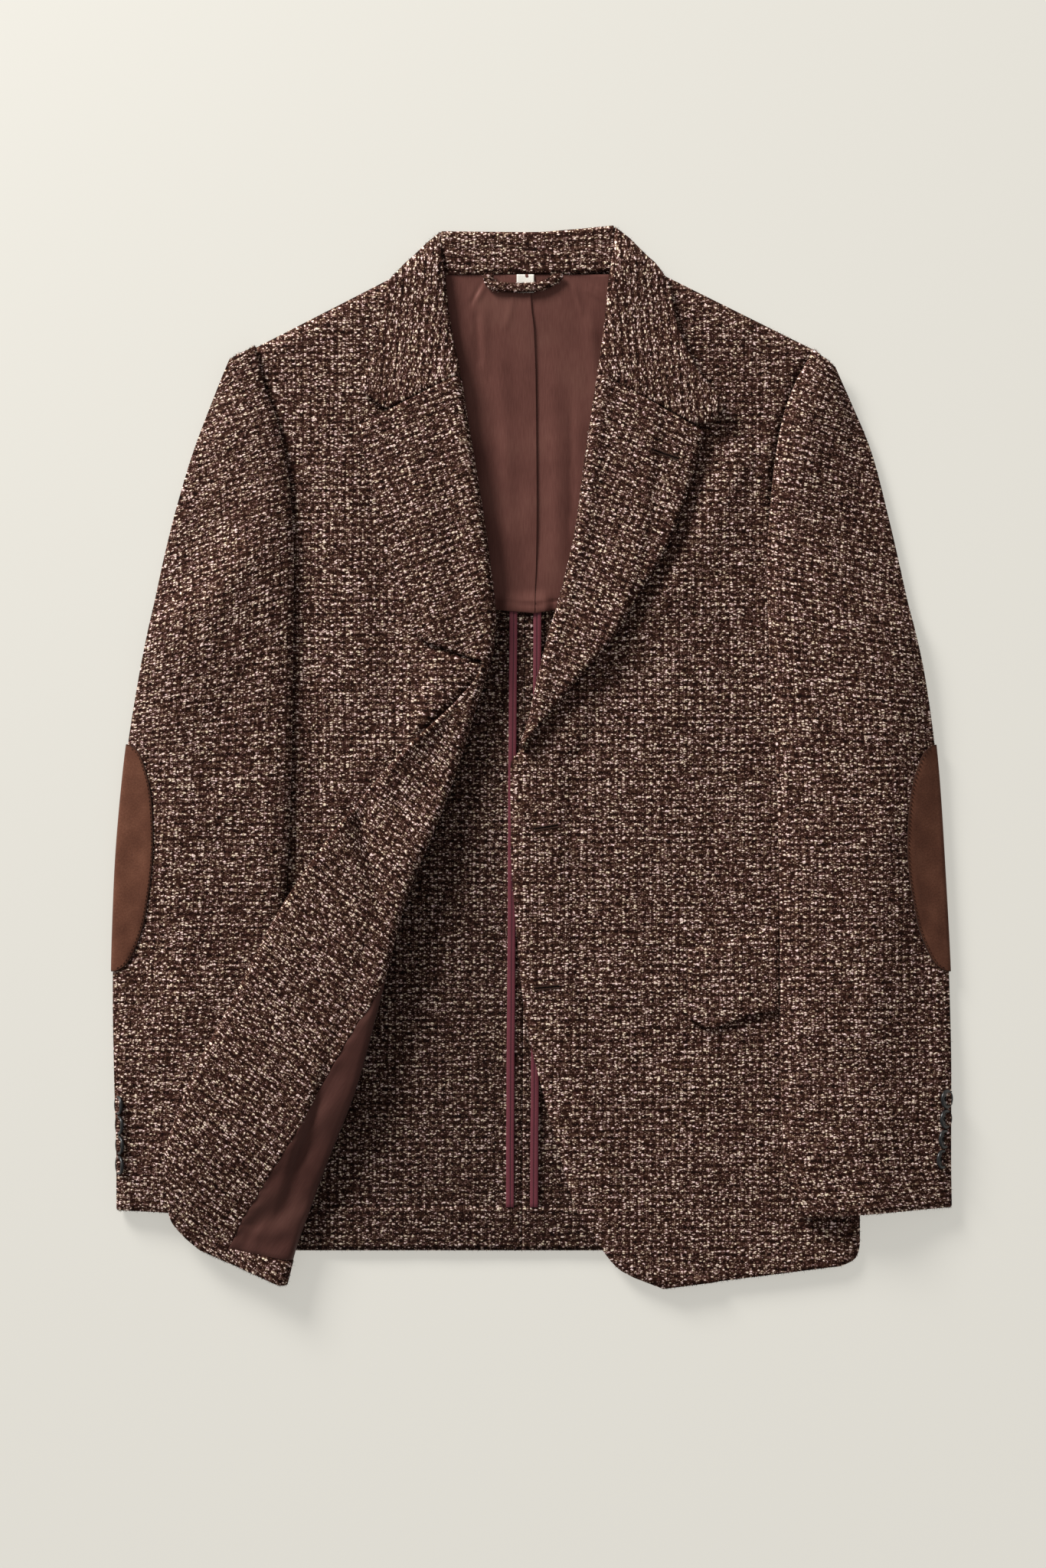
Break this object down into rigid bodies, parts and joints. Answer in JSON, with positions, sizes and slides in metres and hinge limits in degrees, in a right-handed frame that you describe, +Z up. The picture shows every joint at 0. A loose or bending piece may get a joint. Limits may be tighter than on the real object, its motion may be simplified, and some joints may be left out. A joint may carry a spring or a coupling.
{
  "type": "sport coat",
  "caption": "Men's tweed sport coat laid flat on its back, one front folded open to show its facing and lining, with elbow patches and cuff buttons.",
  "frame": {"origin": "middle of the coat's outline, on the surface it lies on", "axes": "+Y from hem to collar, +Z up from the surface to the front of the coat, +X towards the wearer's left side"},
  "size_m": [0.6394, 0.803, 0.0287],
  "materials": {
    "tweed": "dark brown nubby tweed with pale flecks",
    "tweed_facing": "the same tweed, as facing",
    "satin": "reddish brown lining satin, soft shine",
    "binding": "burgundy bias tape",
    "suede": "matt brown suede",
    "button": "dark grey, slightly shiny",
    "label": "bare off-white woven tape"
  },
  "bodies": {
    "root": {"back_left": "tweed", "back_lining_left": "satin", "back_lining_right": "satin", "back_right": "tweed", "collar_back": "tweed", "collar_leaf_left": "tweed", "collar_leaf_right": "tweed", "collar_stand": "tweed", "cuff_button_left_1": "button", "cuff_button_left_2": "button", "cuff_button_left_3": "button", "cuff_button_left_4": "button", "cuff_button_right_1": "button", "cuff_button_right_2": "button", "cuff_button_right_3": "button", "cuff_button_right_4": "button", "elbow_patch_left": "suede", "elbow_patch_right": "suede", "facing_left": "tweed_facing", "facing_right": "tweed_facing", "front_hem_right": "tweed", "front_left": "tweed", "front_lining_right": "satin", "front_right": "tweed", "hanger_loop": "tweed", "pocket_flap_left": "tweed", "seam_binding_left": "binding", "seam_binding_right": "binding", "size_label": "label", "top_sleeve_left": "tweed", "top_sleeve_right": "tweed", "under_sleeve_left": "tweed", "under_sleeve_right": "tweed"}
  },
  "joints": []
}
